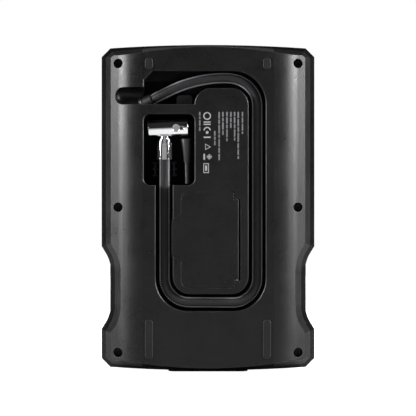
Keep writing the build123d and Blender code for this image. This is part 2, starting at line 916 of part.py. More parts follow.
with BuildPart() as compartment_door:
    with BuildSketch(across(back)):
        door_face(door_gap)
        with Locations((hinge_x + barrel_d, door_mid)):
            Rectangle(2 * barrel_d, 2 * door_top - 2 * door_bottom, mode=Mode.SUBTRACT)
        with Locations((hinge_x, lug_low), (hinge_x, lug_high)):
            Rectangle(2 * lug_half + 1.4, lug_length + 2 * door_gap, mode=Mode.SUBTRACT)
    extrude(amount=-door_thick)
    with BuildSketch(Plane.XY.offset(door_mid - barrel_length / 2)):
        with Locations((hinge_x, hinge_y)):
            Circle(barrel_d / 2)
    extrude(amount=barrel_length)
    with BuildSketch(across(back + door_thick)):
        with Locations((door_left + compartment_rim + 2, door_mid)):
            Rectangle(1.2, 30)
    extrude(amount=-2.0)
    with BuildSketch(Plane.XY.offset(door_mid - barrel_length / 2)):
        with Locations((hinge_x, hinge_y)):
            Circle(hinge_pin_d / 2 + bore_gap)
    extrude(amount=barrel_length, mode=Mode.SUBTRACT)
save(compartment_door.part, "compartment_door")

with BuildPart() as door_hinge_pin:
    with BuildSketch(Plane.XY.offset(door_mid - barrel_length / 2 - pin_grip)):
        with Locations((hinge_x, hinge_y)):
            Circle(hinge_pin_d / 2)
    extrude(amount=barrel_length + 2 * pin_grip)
save(door_hinge_pin.part, "door_hinge_pin")


# What the compartment holds -----------------------------------------------------------------------

tray_x = (door_left + door_right) / 2
tray_y = back + compartment_depth
needle_at = (tray_x - 6, tray_y - 5.5)
presta_at = (tray_x + 7, tray_y - 5.5)

with BuildPart() as adapter_tray:
    with BuildSketch(across(tray_y)):
        with Locations((tray_x, door_mid)):
            RectangleRounded(30, 56, 2.5)
    extrude(amount=1.2)
    with BuildSketch(Plane.XY.offset(door_mid)):
        with Locations((tray_x, tray_y - 3.2)):
            Rectangle(28, 4.6)
    extrude(amount=9, both=True)
    with BuildSketch(Plane.XY.offset(door_mid)):
        with Locations(needle_at):
            Circle(3.1)
            with Locations((0, -3)):
                Rectangle(5, 6)
        with Locations(presta_at):
            Circle(4.1)
            with Locations((0, -3)):
                Rectangle(7, 6)
    extrude(amount=12, both=True, mode=Mode.SUBTRACT)
save(adapter_tray.part, "adapter_tray")

with BuildPart() as ball_needle:
    with BuildSketch(Plane.XY.offset(door_mid - 12)):
        with Locations(needle_at):
            Circle(3.0)
    extrude(amount=14)
    with BuildSketch(Plane.XY.offset(door_mid + 2)):
        with Locations(needle_at):
            Circle(1.0)
    extrude(amount=20)
    with BuildSketch(Plane.XY.offset(door_mid - 12)):
        with Locations(needle_at):
            Circle(2.0)
    extrude(amount=9, mode=Mode.SUBTRACT)
save(ball_needle.part, "ball_needle")

with BuildPart() as presta_adapter:
    with BuildSketch(Plane.XY.offset(door_mid - 9)):
        with Locations(presta_at):
            Circle(4.0)
    extrude(amount=18)
    with BuildSketch(Plane.XY.offset(door_mid - 9)):
        with Locations(presta_at):
            Circle(2.6)
    extrude(amount=18, mode=Mode.SUBTRACT)
save(presta_adapter.part, "presta_adapter")


# Hose, ferrule and chuck --------------------------------------------------------------------------

route = [exit_at - exit_way * hose_root] + [Vector(x, back + d, mid + z) for x, d, z in hose_points]


def bend_radii(points):
    """Radius of each bend, as large as the shorter of its two runs allows."""
    radii = []
    for before, here, after in zip(points, points[1:], points[2:]):
        run_in, run_out = here - before, after - here
        half_turn = radians(run_in.get_angle(run_out)) / 2
        shorter = min(run_in.length, run_out.length)
        radii.append(0.45 * shorter / tan(half_turn))
    return radii


hose_radii = bend_radii(route)
with BuildPart() as hose:
    with BuildLine() as hose_line:
        FilletPolyline(*route, radius=hose_radii)
    with BuildSketch(Plane(origin=route[0], z_dir=exit_way)):
        Circle(hose_d / 2)
    sweep()
save(hose.part, "hose")
hose_length = hose_line.wires()[0].length
print("hose radii", [round(radius, 1) for radius in hose_radii], "length", round(hose_length, 1))
section = pi * hose_d**2 / 4
print("hose volume over section times length", round(hose.part.volume / (section * hose_length), 4))

with BuildPart() as strain_relief:
    with BuildSketch(on_exit(-relief_length)):
        Circle(relief_d / 2)
    with BuildSketch(on_exit(0)):
        Circle(relief_tip_d / 2)
    loft()
    with BuildSketch(on_exit(-relief_length)):
        Circle(hose_d / 2 + bore_gap)
    extrude(amount=relief_length, mode=Mode.SUBTRACT)
save(strain_relief.part, "strain_relief")

with BuildPart() as hose_gland:
    with BuildSketch(on_exit(-relief_length)):
        Circle(gland_d / 2)
    extrude(amount=-gland_length)
    with BuildSketch(on_exit(-relief_length)):
        Circle(hose_d / 2 + bore_gap)
    extrude(amount=relief_length - hose_root, mode=Mode.SUBTRACT)
    with BuildSketch(on_exit(-relief_length - gland_length)):
        Circle(2.4)
    extrude(amount=-6)
    with BuildSketch(on_exit(-relief_length - gland_length - 6)):
        Circle(1.2)
    extrude(amount=gland_length + 5, mode=Mode.SUBTRACT)
save(hose_gland.part, "hose_gland")

end_y = back + end_depth
neck_z = mid + ferrule_bottom + ferrule_height


def above(z):
    """Horizontal plane at a height, with its origin on the axis of the chuck's stem."""
    return Plane(origin=(end_x, end_y, z), z_dir=(0, 0, 1))


with BuildPart() as hose_ferrule:
    with BuildSketch(above(mid + ferrule_bottom)):
        RegularPolygon(ferrule_across / 2, 8, major_radius=False, rotation=22.5)
    extrude(amount=ferrule_height)
    with BuildSketch(above(mid + ferrule_bottom)):
        Circle(ferrule_across / 2 + 0.2)
    extrude(amount=ferrule_height, mode=Mode.INTERSECT)
    with BuildSketch(above(mid + ferrule_bottom + ferrule_height - 2.2)):
        Circle(ferrule_across)
        Circle(ferrule_across / 2 - 0.6, mode=Mode.SUBTRACT)
    extrude(amount=0.9, mode=Mode.SUBTRACT)
    with BuildSketch(above(mid + ferrule_bottom)):
        Circle(hose_d / 2 + 2 * bore_gap)
    extrude(amount=ferrule_height - 0.2, mode=Mode.SUBTRACT)
save(hose_ferrule.part, "hose_ferrule")

chuck_z_at = mid + chuck_z
chuck_way = Vector(cos(radians(chuck_tilt)), 0, sin(radians(chuck_tilt)))
chuck_end = Vector(chuck_x, end_y, chuck_z_at) - chuck_way * (chuck_length / 2)
spigot_top = chuck_z_at - valve_bore_d / 2 - spigot_gap


def on_chuck(distance):
    """Plane square to the chuck's axis, at a distance from its open end."""
    return Plane(origin=chuck_end + chuck_way * distance, x_dir=(0, 1, 0), z_dir=chuck_way)


with BuildPart() as chuck_stem:
    with BuildSketch(above(neck_z)):
        Circle(stem_flange_d / 2)
    extrude(amount=stem_flange_height)
    chamfer(chuck_stem.edges().filter_by(GeomType.CIRCLE), 0.4)
    with BuildSketch(above(neck_z + stem_flange_height - 0.5)):
        Circle(stem_neck_d / 2)
    extrude(amount=spigot_top - neck_z - stem_flange_height + 0.5)
save(chuck_stem.part, "chuck_stem")

with BuildPart() as chuck_body:
    with BuildSketch(on_chuck(0)):
        Circle(chuck_d / 2)
    extrude(amount=chuck_length)
    chamfer(chuck_body.edges().filter_by(GeomType.CIRCLE).sort_by(Axis.X)[0], 1.0)
    chamfer(chuck_body.edges().filter_by(GeomType.CIRCLE).sort_by(Axis.X)[-1], 0.35)
    with BuildSketch(on_chuck(0)):
        Circle(valve_bore_d / 2)
    extrude(amount=valve_bore_depth, mode=Mode.SUBTRACT)
    with BuildSketch(above(neck_z + stem_flange_height)):
        Circle(stem_neck_d / 2 + 0.02)
    extrude(amount=spigot_top - neck_z - stem_flange_height, mode=Mode.SUBTRACT)
    with BuildSketch(across(end_y - chuck_d)):
        with Locations((chuck_x + cross_hole_x, chuck_z_at)):
            Circle(cross_hole_d / 2)
        with Locations((chuck_x + cross_hole_x + 3.4, chuck_z_at)):
            SlotOverall(5.0, 2.2)
    extrude(amount=-(chuck_d - 1.6), mode=Mode.SUBTRACT)
save(chuck_body.part, "chuck_body")

with BuildPart() as bleed_pin:
    with BuildSketch(across(end_y - 1.6)):
        with Locations((chuck_x + cross_hole_x + 3.6, chuck_z_at)):
            Circle(1.0)
    extrude(amount=chuck_d / 2 - 1.6)
    chamfer(bleed_pin.edges().group_by(Axis.Y)[0], 0.3)
save(bleed_pin.part, "bleed_pin")

with BuildPart() as chuck_seal:
    with BuildSketch(on_chuck(valve_bore_depth - 4.0)):
        Circle(valve_bore_d / 2 - 0.02)
        Circle(2.2, mode=Mode.SUBTRACT)
    extrude(amount=3.0)
save(chuck_seal.part, "chuck_seal")

with BuildPart() as valve_depressor:
    with BuildSketch(on_chuck(valve_bore_depth)):
        Circle(3.4)
    extrude(amount=-1.0)
    with BuildSketch(on_chuck(valve_bore_depth - 1.0)):
        Circle(0.9)
    extrude(amount=-4.0)
save(valve_depressor.part, "valve_depressor")

nozzle_tip = Vector(sin(radians(nozzle_lean)), 0, -cos(radians(nozzle_lean)))
nozzle_base = Vector(nozzle_x, back + nozzle_depth, mid + nozzle_z)
with BuildPart() as nozzle_adapter:
    with BuildSketch(Plane(origin=nozzle_base, x_dir=(0, 1, 0), z_dir=nozzle_tip)):
        Circle(3.9)
    with BuildSketch(Plane(origin=nozzle_base + nozzle_tip * 16.2, x_dir=(0, 1, 0), z_dir=nozzle_tip)):
        Circle(2.45)
    loft()
    with BuildSketch(Plane(origin=nozzle_base + nozzle_tip * 16.2, x_dir=(0, 1, 0), z_dir=nozzle_tip)):
        Circle(2.0)
    extrude(amount=0.9)
    with BuildSketch(Plane(origin=nozzle_base + nozzle_tip * 17.1, x_dir=(0, 1, 0), z_dir=nozzle_tip)):
        Circle(1.8)
    extrude(amount=nozzle_length - 17.1)
    with BuildSketch(Plane(origin=nozzle_base, x_dir=(0, 1, 0), z_dir=nozzle_tip)):
        Circle(2.6)
    extrude(amount=8, mode=Mode.SUBTRACT)
save(nozzle_adapter.part, "nozzle_adapter")


# Battery ------------------------------------------------------------------------------------------

cells_bottom = mid + cell_bottom
holder_wall = 1.6
holder_width = cell_pitch * (cell_count - 1) + cell_d + 2 * holder_wall
with BuildPart() as battery_cells:
    with BuildSketch(Plane.XY.offset(cells_bottom)):
        with Locations((0, cell_y)):
            with GridLocations(cell_pitch, 1, cell_count, 1):
                Circle(cell_d / 2)
    extrude(amount=cell_length)
save(battery_cells.part, "battery_cells")

with BuildPart() as battery_holder:
    with BuildSketch(Plane.XY.offset(cells_bottom - holder_wall)):
        with Locations((0, cell_y)):
            RectangleRounded(holder_width, cell_d + 0.4, 4.0)
    extrude(amount=8)
    with BuildSketch(Plane.XY.offset(cells_bottom + cell_length + holder_wall)):
        with Locations((0, cell_y)):
            RectangleRounded(holder_width, cell_d + 0.4, 4.0)
    extrude(amount=-8)
    with BuildSketch(Plane.XY.offset(cells_bottom - holder_wall)):
        with Locations((0, cell_y)):
            with GridLocations(holder_width - holder_wall, 1, 2, 1):
                Rectangle(holder_wall, 8)
    extrude(amount=cell_length + 2 * holder_wall)
    with BuildSketch(Plane.XY.offset(cells_bottom)):
        with Locations((0, cell_y)):
            with GridLocations(cell_pitch, 1, cell_count, 1):
                Circle(cell_d / 2)
    extrude(amount=cell_length, mode=Mode.SUBTRACT)
save(battery_holder.part, "battery_holder")


# Pump ---------------------------------------------------------------------------------------------


def gear_face(teeth, phase):
    """Outline of a spur gear about the sketch origin, with the first tooth at the phase angle."""
    pitch_radius = gear_module * teeth / 2
    root, tip = pitch_radius - 0.95, pitch_radius + 0.7
    step = 360 / teeth
    root_half = degrees(0.7 * tooth_thick / pitch_radius)
    tip_half = degrees(0.3 * tooth_thick / pitch_radius)
    points = []
    for tooth in range(teeth):
        middle = phase + tooth * step
        for radius, angle in ((root, -root_half), (tip, -tip_half), (tip, tip_half), (root, root_half)):
            turn = radians(middle + angle)
            points.append((radius * cos(turn), radius * sin(turn)))
    with BuildLine() as line:
        Polyline(*points, close=True)
    make_face(line.edges())


def pump_plane(x, z):
    """Plane across the width with its origin on one of the pump's axes."""
    return Plane(origin=(x, pump_y, z), x_dir=(0, 1, 0), z_dir=(1, 0, 0))


def cylinder_plane(z):
    """Horizontal plane with its origin on the cylinder's axis."""
    return Plane(origin=(cylinder_x, pump_y, z), z_dir=(0, 0, 1))


pin_z = crank_z - crank_radius
wrist_z = pin_z + rod_length
crown_z = wrist_z + wrist_drop
cylinder_top = crown_z + 2 * crank_radius + 0.6
cylinder_bottom = cylinder_top - cylinder_length
head_bottom = cylinder_top + gasket_thick
head_top = head_bottom + head_height
shell_r = bore_d / 2 + cylinder_wall
bolt_r = shell_r + 1.0
bolt_pitch = 2 * bolt_r - 8
gear_r = gear_module * gear_teeth / 2 + 0.7
pinion_bore = motor_shaft_d / 2
frame_half = gear_r + 1.5
deck_bottom = cylinder_bottom - 2.0

with BuildPart() as motor:
    with BuildSketch(pump_plane(-plate_thick, motor_z)):
        Circle(motor_d / 2)
    extrude(amount=-motor_length)
    chamfer(motor.edges().filter_by(GeomType.CIRCLE), 1.5)
    with BuildSketch(pump_plane(-plate_thick - motor_length, motor_z)):
        Circle(6)
    extrude(amount=-3)
    with BuildSketch(pump_plane(-plate_thick, motor_z)):
        Circle(motor_shaft_d / 2 + running_gap)
    extrude(amount=-motor_length + 4, mode=Mode.SUBTRACT)
save(motor.part, "motor")

with BuildPart() as motor_pinion:
    with BuildSketch(pump_plane(gear_x - 0.2, motor_z)):
        gear_face(pinion_teeth, 90)
    extrude(amount=gear_width + 1)
    with BuildSketch(pump_plane(gear_x + gear_width, motor_z)):
        Circle(pinion_bore)
    extrude(amount=-(gear_width + gear_x + plate_thick + 12))
save(motor_pinion.part, "motor_pinion")

with BuildPart() as crank_gear:
    with BuildSketch(pump_plane(gear_x, crank_z)):
        gear_face(gear_teeth, 270 + 180 / gear_teeth)
        Circle(axle_d / 2 + running_gap, mode=Mode.SUBTRACT)
        with PolarLocations(11, 5, start_angle=270 + 36):
            Circle(2.6, mode=Mode.SUBTRACT)
    extrude(amount=gear_width)
    with BuildSketch(pump_plane(gear_x + gear_width, pin_z)):
        Circle(crank_pin_d / 2 + 0.01)
    extrude(amount=-gear_width, mode=Mode.SUBTRACT)
save(crank_gear.part, "crank_gear")

with BuildPart() as crank_pin:
    with BuildSketch(pump_plane(gear_x, pin_z)):
        Circle(crank_pin_d / 2)
    extrude(amount=rod_x - 0.3 - gear_x)
save(crank_pin.part, "crank_pin")

with BuildPart() as gear_axle:
    with BuildSketch(pump_plane(-plate_thick, crank_z)):
        Circle(axle_d / 2)
    extrude(amount=plate_thick + gear_x + gear_width + 0.4)
save(gear_axle.part, "gear_axle")

plate_bottom = motor_z - 13
with BuildPart() as gearbox_frame:
    with BuildSketch(along(0)):
        with Locations((pump_y, (deck_bottom + plate_bottom) / 2)):
            RectangleRounded(2 * frame_half, deck_bottom - plate_bottom, 3.0)
    extrude(amount=-plate_thick)
    with BuildSketch(cylinder_plane(deck_bottom)):
        Rectangle(2 * (cylinder_x + plate_thick), 2 * bolt_r + 4)
        Circle(bore_d / 2 + 0.5, mode=Mode.SUBTRACT)
    extrude(amount=2)
    with BuildSketch(pump_plane(0, crank_z)):
        Circle(axle_d / 2 + 0.02)
    extrude(amount=-plate_thick, mode=Mode.SUBTRACT)
    with BuildSketch(pump_plane(0, motor_z)):
        Circle(motor_shaft_d / 2 + 1.0)
        with GridLocations(16, 1, 2, 1):
            Circle(1.52)
    extrude(amount=-plate_thick, mode=Mode.SUBTRACT)
save(gearbox_frame.part, "gearbox_frame")

with BuildPart() as motor_screws:
    with BuildSketch(pump_plane(0, motor_z)):
        with GridLocations(16, 1, 2, 1):
            Circle(2.4)
    extrude(amount=0.7)
    with BuildSketch(pump_plane(0, motor_z)):
        with GridLocations(16, 1, 2, 1):
            Circle(1.5)
    extrude(amount=-plate_thick)
save(motor_screws.part, "motor_screws")

with BuildPart() as con_rod:
    with BuildSketch(pump_plane(rod_x, pin_z)):
        Circle(rod_eye_d / 2)
        with Locations((0, rod_length)):
            Circle(4.0)
        with Locations((0, rod_length / 2)):
            Rectangle(5.6, rod_length)
    extrude(amount=rod_thick)
    with BuildSketch(pump_plane(rod_x, pin_z)):
        Circle(rod_eye_d / 2 - 2.2)
        with Locations((0, rod_length)):
            Circle(wrist_pin_d / 2 + running_gap)
    extrude(amount=rod_thick, mode=Mode.SUBTRACT)
save(con_rod.part, "con_rod")

with BuildPart() as big_end_bush:
    with BuildSketch(pump_plane(rod_x, pin_z)):
        Circle(rod_eye_d / 2 - 2.22)
        Circle(crank_pin_d / 2 - 0.6, mode=Mode.SUBTRACT)
    extrude(amount=rod_thick)
save(big_end_bush.part, "big_end_bush")

with BuildPart() as wrist_pin:
    with BuildSketch(pump_plane(cylinder_x - 9, wrist_z)):
        Circle(wrist_pin_d / 2)
    extrude(amount=18)
save(wrist_pin.part, "wrist_pin")

seal_low = crown_z - 3.4
with BuildPart() as piston:
    with BuildSketch(cylinder_plane(crown_z)):
        Circle(bore_d / 2 - 0.4)
    extrude(amount=-piston_height)
    with BuildSketch(cylinder_plane(crown_z - 2.4)):
        Rectangle(rod_thick + 1.2, bore_d)
    extrude(amount=-piston_height, mode=Mode.SUBTRACT)
    with BuildSketch(pump_plane(cylinder_x - 9.1, wrist_z)):
        Circle(wrist_pin_d / 2 + 0.01)
    extrude(amount=18.2, mode=Mode.SUBTRACT)
    with BuildSketch(cylinder_plane(seal_low)):
        Circle(bore_d)
        Circle(bore_d / 2 - 1.6, mode=Mode.SUBTRACT)
    extrude(amount=1.8, mode=Mode.SUBTRACT)
save(piston.part, "piston")

with BuildPart() as piston_seal:
    with BuildSketch(cylinder_plane(seal_low + 0.05)):
        Circle(bore_d / 2 - running_gap)
        Circle(bore_d / 2 - 1.58, mode=Mode.SUBTRACT)
    extrude(amount=1.7)
save(piston_seal.part, "piston_seal")

with BuildPart() as cylinder:
    with BuildSketch(cylinder_plane(deck_bottom + 2)):
        Circle(shell_r)
    extrude(amount=cylinder_top - deck_bottom - 2)
    for fin in range(4):
        with BuildSketch(cylinder_plane(cylinder_bottom + 3 + 4.4 * fin)):
            Circle(shell_r + 1.8)
        extrude(amount=1.4)
    with BuildSketch(cylinder_plane(deck_bottom)):
        Circle(bore_d / 2)
    extrude(amount=cylinder_length + 4, mode=Mode.SUBTRACT)
save(cylinder.part, "cylinder")

with BuildPart() as head_gasket:
    with BuildSketch(cylinder_plane(cylinder_top)):
        Rectangle(2 * bolt_r - 2, 2 * bolt_r - 2)
        Circle(bore_d / 2 - 1, mode=Mode.SUBTRACT)
        with GridLocations(bolt_pitch, bolt_pitch, 2, 2):
            Circle(1.7, mode=Mode.SUBTRACT)
    extrude(amount=gasket_thick)
save(head_gasket.part, "head_gasket")

outlet_z = head_bottom + head_height / 2
head_left = cylinder_x - bolt_r + 1
with BuildPart() as cylinder_head:
    with BuildSketch(cylinder_plane(head_bottom)):
        RectangleRounded(2 * bolt_r - 2, 2 * bolt_r - 2, 2.5)
        with GridLocations(bolt_pitch, bolt_pitch, 2, 2):
            Circle(1.52, mode=Mode.SUBTRACT)
    extrude(amount=head_height)
    with BuildSketch(cylinder_plane(head_bottom)):
        Circle(7)
    extrude(amount=head_height - 3, mode=Mode.SUBTRACT)
    with BuildSketch(pump_plane(head_left + 1, outlet_z)):
        Circle(1.9)
    extrude(amount=-7)
    with BuildSketch(pump_plane(head_left - 6, outlet_z)):
        Circle(1.0)
    extrude(amount=12, mode=Mode.SUBTRACT)
save(cylinder_head.part, "cylinder_head")

with BuildPart() as reed_valve:
    with BuildSketch(cylinder_plane(head_bottom + 0.3)):
        Circle(6.6)
        with Locations((3, 0)):
            Circle(1.2, mode=Mode.SUBTRACT)
    extrude(amount=0.3)
save(reed_valve.part, "reed_valve")

with BuildPart() as head_bolts:
    with BuildSketch(cylinder_plane(head_top)):
        with GridLocations(bolt_pitch, bolt_pitch, 2, 2):
            RegularPolygon(2.7, 6)
    extrude(amount=2.0)
    with BuildSketch(cylinder_plane(head_top)):
        with GridLocations(bolt_pitch, bolt_pitch, 2, 2):
            Circle(1.5)
    extrude(amount=-(head_height + gasket_thick))
save(head_bolts.part, "head_bolts")


# Air tube from the pump's head to the hose gland --------------------------------------------------

gland_end = exit_at - exit_way * (relief_length + gland_length)
tube_route = [
    Vector(head_left, pump_y, outlet_z),
    Vector(head_left - 16, pump_y, outlet_z),
    Vector(head_left - 34, pump_y - 1.0, outlet_z + 3.0),
    Vector(head_left - 43, pump_y - 3.0, outlet_z + 16.0),
    Vector(head_left - 46, pump_y - 8.0, outlet_z + 38.0),
    Vector(gland_end.X - 13.0, gland_end.Y + 7.5, gland_end.Z - 16.0),
    gland_end - exit_way * 12.0,
    gland_end,
]
with BuildPart() as air_tube:
    with BuildLine() as tube_line:
        FilletPolyline(*tube_route, radius=bend_radii(tube_route))
    with BuildSketch(Plane(origin=tube_route[0], z_dir=(-1, 0, 0))):
        Circle(tube_d / 2)
    sweep()
    with BuildSketch(pump_plane(head_left, outlet_z)):
        Circle(1.95)
    extrude(amount=-6.5, mode=Mode.SUBTRACT)
    with BuildSketch(on_exit(-relief_length - gland_length)):
        Circle(2.45)
    extrude(amount=-6.5, mode=Mode.SUBTRACT)
save(air_tube.part, "air_tube")
print("tube radii", [round(radius, 1) for radius in bend_radii(tube_route)])
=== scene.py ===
import json
import math

import bmesh
import bpy
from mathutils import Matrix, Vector


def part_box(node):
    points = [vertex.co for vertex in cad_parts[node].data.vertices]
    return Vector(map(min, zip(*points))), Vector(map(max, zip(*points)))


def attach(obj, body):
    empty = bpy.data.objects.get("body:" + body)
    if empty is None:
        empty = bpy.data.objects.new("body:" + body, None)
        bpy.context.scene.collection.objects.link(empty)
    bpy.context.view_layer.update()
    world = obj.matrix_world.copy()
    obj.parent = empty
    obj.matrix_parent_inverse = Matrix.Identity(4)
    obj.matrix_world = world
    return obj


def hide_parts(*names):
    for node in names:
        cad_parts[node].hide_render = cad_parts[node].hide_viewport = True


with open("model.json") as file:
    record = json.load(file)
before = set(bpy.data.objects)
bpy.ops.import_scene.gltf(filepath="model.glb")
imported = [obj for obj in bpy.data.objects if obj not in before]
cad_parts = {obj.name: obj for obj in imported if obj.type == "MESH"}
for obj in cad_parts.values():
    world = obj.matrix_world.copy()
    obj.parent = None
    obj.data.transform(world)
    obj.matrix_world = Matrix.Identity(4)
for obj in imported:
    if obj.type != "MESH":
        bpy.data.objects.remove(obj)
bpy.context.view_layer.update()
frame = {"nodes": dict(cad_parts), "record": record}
scene = bpy.context.scene
nodes = frame["nodes"]
MM = 0.001
WHITE = (1.0, 1.0, 1.0, 1.0)

# Camera ------------------------------------------------------------------------------------------

CAMERA_PLACE = (0.0, -1.231, 0.115)
SENSOR_WIDTH = 36.0
FOCAL_LENGTH = 150.3

camera = bpy.data.objects.new("camera", bpy.data.cameras.new("camera"))
scene.collection.objects.link(camera)
camera.location = CAMERA_PLACE
camera.rotation_euler = (math.radians(90), 0.0, 0.0)
camera.data.sensor_width = SENSOR_WIDTH
camera.data.lens = FOCAL_LENGTH
scene.camera = camera
scene.view_settings.view_transform = "Standard"


# Materials ---------------------------------------------------------------------------------------

# Stretches over which one look gives way to the next: values of the noises, the cosine between a
# face's own and its softened normal, and Y, then X to each side, then Y again, in the shared frame.
MID_NOISE = (0.3, 0.7)
GRAIN_NOISE = (0.35, 0.75)
EDGE_WEAR_AND_HIGHLIGHT_NOISE = (0.35, 0.65)
EDGE_COSINE = (0.995, 0.86)
HOLLOW_FRONT = (-30.2 * MM, -29.0 * MM)
HOLLOW_SIDE = (46.4 * MM, 45.8 * MM)
HOLLOW_BACK = (-8.5 * MM, -9.5 * MM)
NONE_TO_FULL = (0.0, 1.0)

BEVEL_SAMPLES = 4
COAT_ROUGHNESS = 0.08
GRAIN_DETAIL = 4.0
PALE_SHARE = 0.35  # how much of the grain's pale tone shows at most
PALE_GAIN = 1.7
PALE_LIFT = 0.004
EDGE_WEAR_AND_HIGHLIGHT_PATCH = 4.0 * MM
EDGE_WEAR_AND_HIGHLIGHT_LEAST = 0.25
GLOSS_SPREAD = 0.05
# How far the painted shade darkens the colour in the hollows of the back panel.
HOLLOW_PAINTED_SHADE = 0.25
HOLLOW_ROUGHNESS = 0.9
GRAIN_STRENGTH = 0.6


class Nodes:
    """Short ways to add and join the nodes of one material."""

    def __init__(self, name):
        self.material = bpy.data.materials.new(name)
        self.material.use_nodes = True
        self.tree = self.material.node_tree
        self.tree.nodes.clear()
        self.shader = self.tree.nodes.new("ShaderNodeBsdfPrincipled")
        output = self.tree.nodes.new("ShaderNodeOutputMaterial")
        self.link(self.shader.outputs["BSDF"], output.inputs["Surface"])
        self.place = self.tree.nodes.new("ShaderNodeTexCoord").outputs["Object"]

    def link(self, source, target):
        self.tree.links.new(source, target)

    def noise(self, size, detail=3.0, stretch=None):
        node = self.tree.nodes.new("ShaderNodeTexNoise")
        node.inputs["Scale"].default_value = 1.0 / size
        node.inputs["Detail"].default_value = detail
        place = self.place
        if stretch:
            mapping = self.tree.nodes.new("ShaderNodeMapping")
            mapping.inputs["Scale"].default_value = stretch
            self.link(self.place, mapping.inputs["Vector"])
            place = mapping.outputs["Vector"]
        self.link(place, node.inputs["Vector"])
        return node.outputs["Fac"]

    def ramp(self, source, span, result=NONE_TO_FULL):
        """Carries the span of the source over to the span of the result."""
        node = self.tree.nodes.new("ShaderNodeMapRange")
        for key, value in zip(("From Min", "From Max", "To Min", "To Max"), (*span, *result)):
            node.inputs[key].default_value = value
        self.link(source, node.inputs["Value"])
        return node.outputs["Result"]

    def math(self, kind, first, second):
        node = self.tree.nodes.new("ShaderNodeMath")
        node.operation = kind
        for index, value in enumerate((first, second)):
            if isinstance(value, float):
                node.inputs[index].default_value = value
            else:
                self.link(value, node.inputs[index])
        return node.outputs[0]

    def mix(self, factor, first, second):
        node = self.tree.nodes.new("ShaderNodeMix")
        node.data_type = "RGBA"
        self.link(factor, node.inputs["Factor"])
        for key, value in (("A", first), ("B", second)):
            socket = [s for s in node.inputs if s.name == key and s.type == "RGBA"][0]
            if isinstance(value, tuple):
                socket.default_value = (*value, 1.0)
            else:
                self.link(value, socket)
        return [s for s in node.outputs if s.type == "RGBA"][0]

    def soft_normal(self, radius):
        node = self.tree.nodes.new("ShaderNodeBevel")
        node.samples = BEVEL_SAMPLES
        node.inputs["Radius"].default_value = radius
        return node.outputs["Normal"]

    def edges(self, soft):
        """1 along the sharp edges and 0 elsewhere."""
        sharp = self.tree.nodes.new("ShaderNodeNewGeometry").outputs["Normal"]
        dot = self.tree.nodes.new("ShaderNodeVectorMath")
        dot.operation = "DOT_PRODUCT"
        self.link(sharp, dot.inputs[0])
        self.link(soft, dot.inputs[1])
        return self.ramp(dot.outputs["Value"], EDGE_COSINE)

    def hollows(self):
        """1 on the walls and floors of the hollows in the back panel, where painted shade darkens
        the colour and the gloss is duller, 0 on the panel.
        """
        split = self.tree.nodes.new("ShaderNodeSeparateXYZ")
        self.link(self.place, split.inputs["Vector"])
        below = self.ramp(split.outputs["Y"], HOLLOW_FRONT)
        within = self.ramp(self.math("ABSOLUTE", split.outputs["X"], 0.0), HOLLOW_SIDE)
        above = self.ramp(split.outputs["Y"], HOLLOW_BACK)
        return self.math("MULTIPLY", self.math("MULTIPLY", below, within), above)

    def bump(self, height, strength, distance, normal):
        node = self.tree.nodes.new("ShaderNodeBump")
        node.inputs["Strength"].default_value = strength
        node.inputs["Distance"].default_value = distance
        self.link(height, node.inputs["Height"])
        self.link(normal, node.inputs["Normal"])
        return node.outputs["Normal"]


def finish(name, color, rough, metal=0.0, specular=0.5, grain=0.5, depth=0.02, vary=0.12, edge_wear_and_highlight=1.6,
           edge=0.3, patch=18.0, coat=0.0, clear=0.0, stretch=None, edge_wear_and_highlight_lift=0.004, speckle=0.05,
           hollows=False):
    """A procedural finish with grain, edges lightened in patches as wear and as painted highlight,
    uneven gloss and colour; its sizes are in mm.
    """

    def toned(gain, lift=0.0):
        return tuple(min(1.0, c * gain + lift) for c in color)

    n = Nodes(name)
    n.shader.inputs["Metallic"].default_value = metal
    n.shader.inputs["Specular IOR Level"].default_value = specular
    n.shader.inputs["Coat Weight"].default_value = coat
    n.shader.inputs["Coat Roughness"].default_value = COAT_ROUGHNESS
    n.shader.inputs["Transmission Weight"].default_value = clear
    fine = n.noise(grain * MM, GRAIN_DETAIL, stretch)
    broad = n.noise(patch * MM)
    base = n.mix(n.ramp(broad, MID_NOISE), toned(1.0 - vary), toned(1.0 + vary))
    pale = n.ramp(fine, GRAIN_NOISE, (0.0, PALE_SHARE))
    base = n.mix(pale, base, toned(PALE_GAIN, PALE_LIFT))
    soft = n.soft_normal(edge * MM)
    # Painted highlight and wear: the sharp edges are lightened in patches, as wear and to stand in
    # for the glints along them.
    patches = n.ramp(n.noise(EDGE_WEAR_AND_HIGHLIGHT_PATCH), EDGE_WEAR_AND_HIGHLIGHT_NOISE, (EDGE_WEAR_AND_HIGHLIGHT_LEAST, 1.0))
    base = n.mix(n.math("MULTIPLY", n.edges(soft), patches), base, toned(edge_wear_and_highlight, edge_wear_and_highlight_lift))
    gloss = n.math("ADD", n.ramp(broad, MID_NOISE, (rough - GLOSS_SPREAD, rough + GLOSS_SPREAD)),
                   n.ramp(fine, MID_NOISE, (-speckle, speckle)))
    if hollows:
        # Painted shade: the colour in the hollows is darkened where shade falls in them, and their
        # gloss is made duller.
        hollow_shade_and_dullness = n.hollows()
        base = n.mix(hollow_shade_and_dullness, base, toned(HOLLOW_PAINTED_SHADE))
        gloss = n.math("MAXIMUM", gloss, n.math("MULTIPLY", hollow_shade_and_dullness, HOLLOW_ROUGHNESS))
    n.link(base, n.shader.inputs["Base Color"])
    n.link(gloss, n.shader.inputs["Roughness"])
    n.link(n.bump(fine, GRAIN_STRENGTH, depth * MM, soft), n.shader.inputs["Normal"])
    return n.material


